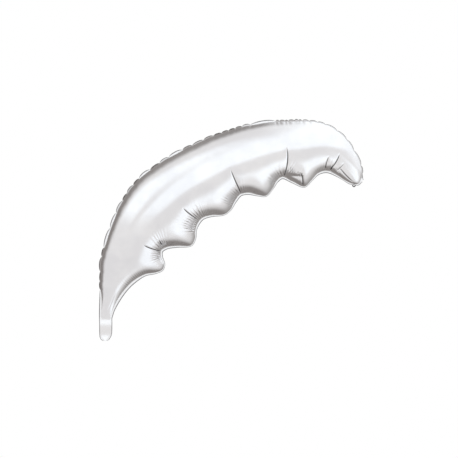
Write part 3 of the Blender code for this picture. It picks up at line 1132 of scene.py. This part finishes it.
def panel_below(tree, aside, depth, height):
    """The smaller panel low on the right."""
    slanted = calculate(tree, "MULTIPLY_ADD", height, LOWER_SLANT, aside)
    panel = step_between(tree, slanted, *LOWER_EDGE)
    edges = ((depth, LOWER_DEPTHS[0]), (depth, LOWER_DEPTHS[1]), (height, LOWER_HEIGHTS))
    for value, edge in edges:
        panel = calculate(tree, "MULTIPLY", panel, step_between(tree, value, *edge))
    return panel


def dim_room(tree, aside, depth, height, side_light):
    """How much of the unlit room behind shows, and its colour.

    It reaches further forward below and, more softly, to the right.
    """
    under = calculate(tree, "MAXIMUM", calculate(tree, "MULTIPLY", height, -1.0), 0.0)
    right = calculate(tree, "MAXIMUM", aside, 0.0)
    beside = calculate(tree, "MULTIPLY", right, calculate(tree, "SUBTRACT", 1.0, under))
    beside = calculate(tree, "MULTIPLY", beside, REACH_BESIDE)
    reach = calculate(tree, "MULTIPLY_ADD", under, REACH_UNDER, beside)
    left = calculate(tree, "MULTIPLY", step_between(tree, aside, *LEFT_EDGE), REACH_LEFT)
    reach = calculate(tree, "ADD", reach, left)
    softness = calculate(tree, "MULTIPLY_ADD", right, ROOM_SOFTER_RIGHT, ROOM_SOFTNESS)
    dim = step_between(tree, calculate(tree, "ADD", depth, reach), ROOM_FROM, softness)
    far_light = step_between(tree, depth, *FAR_DEPTHS, 0.0, FAR_STRENGTH)
    lit = calculate(tree, "MAXIMUM", side_light, far_light)
    dim = calculate(tree, "MULTIPLY", dim, calculate(tree, "SUBTRACT", 1.0, lit))
    paler = calculate(
        tree, "MAXIMUM", step_between(tree, aside, *PALER_ASIDE),
        step_between(tree, height, *PALER_HEIGHTS, 0.0, PALER_ABOVE)
    )
    return dim, mix_colours(tree, paler, UNLIT, UNLIT_PALER)


def studio_light():
    """A plain studio round the object: pale walls, bright above and below, dim behind."""
    world = bpy.data.worlds.new("studio")
    bpy.context.scene.world = world
    world.use_nodes = True
    tree = world.node_tree
    tree.nodes.clear()
    direction = add_node(tree, "ShaderNodeTexCoord")
    split = add_node(tree, "ShaderNodeSeparateXYZ")
    tree.links.new(direction.outputs["Generated"], split.inputs[0])
    aside, depth, height = split.outputs

    to_right = step_between(tree, aside, *RIGHT_EDGE)
    upper = panel_above(tree, aside, depth, height, to_right)
    lower = panel_below(tree, aside, depth, height)
    side_light = calculate(tree, "MULTIPLY", to_right, step_between(tree, height, *SIDE_HEIGHTS))
    side_share = step_between(tree, depth, *SIDE_DEPTHS, 0.0, SIDE_STRENGTH)
    between = calculate(tree, "MULTIPLY", side_light, side_share)
    lit = calculate(tree, "MAXIMUM", calculate(tree, "MAXIMUM", upper, lower), between)
    walls = mix_colours(tree, lit, WALLS, PANELS)
    dim, unlit = dim_room(tree, aside, depth, height, side_light)
    room = mix_colours(tree, dim, walls, unlit)
    seen = add_node(tree, "ShaderNodeLightPath").outputs["Is Camera Ray"]
    shown = mix_colours(tree, seen, room, SHOWN_BEHIND)
    background = add_node(tree, "ShaderNodeBackground")
    tree.links.new(shown, background.inputs["Color"])
    output = add_node(tree, "ShaderNodeOutputWorld")
    tree.links.new(background.outputs[0], output.inputs["Surface"])
    bpy.context.scene.view_settings.view_transform = "Standard"


def add_floor():
    """A plain pale floor well below the balloon."""
    low, high = FLOOR_CORNERS
    across = np.linspace(low[0], high[0], FLOOR_ROWS)
    along = np.linspace(low[1], high[1], FLOOR_ROWS)
    x, y = np.meshgrid(across, along)
    points = np.stack([x, y, np.full_like(x, FLOOR_HEIGHT)], axis=-1).reshape(-1, 3)
    mesh = mesh_from_arrays("floor", points, grid_faces(FLOOR_ROWS, FLOOR_ROWS))
    floor = add_object("floor", mesh, floor_material())
    floor.visible_glossy = False


def add_camera():
    data = bpy.data.cameras.new("camera")
    data.lens = CAMERA_LENS
    data.sensor_width = CAMERA_SENSOR
    middle = 0.5 * PHOTO_SIZE
    camera = bpy.data.objects.new("camera", data)
    camera.location = (
        (middle - ORIGIN_PIXEL[0]) * METRES_PER_PIXEL,
        -PHOTO_SIZE * METRES_PER_PIXEL * CAMERA_LENS / CAMERA_SENSOR,
        (ORIGIN_PIXEL[1] - middle) * METRES_PER_PIXEL,
    )
    camera.rotation_euler = (0.5 * math.pi, 0.0, 0.0)
    bpy.context.scene.collection.objects.link(camera)
    bpy.context.scene.camera = camera


grid = make_grid()
film = shape_film(grid)
weld_film = weld_material()
milky_film = valve_material()
pieces = (
    (sheet_piece("front_film", grid, film, -1.0, foil_material("front_foil", 0.0)),
     "front_foil_sheet", "front_foil"),
    (sheet_piece("back_film", grid, film, 1.0, foil_material("back_foil", 5.0)),
     "back_foil_sheet", "back_foil"),
    (weld_piece(grid, film[1], weld_film), "rim_heat_seal", "rim_seal"),
    (hang_tab_piece(grid, weld_film), None, "rim_seal"),
    (valve_piece("valve_front_film", -1.0, milky_film), "valve_front_strip", "valve_film"),
    (valve_piece("valve_back_film", 1.0, milky_film), "valve_back_strip", "valve_film"),
)
for piece, node, slot in pieces:
    if node:
        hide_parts(node)
    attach(piece, "root")
studio_light()
add_floor()
add_camera()
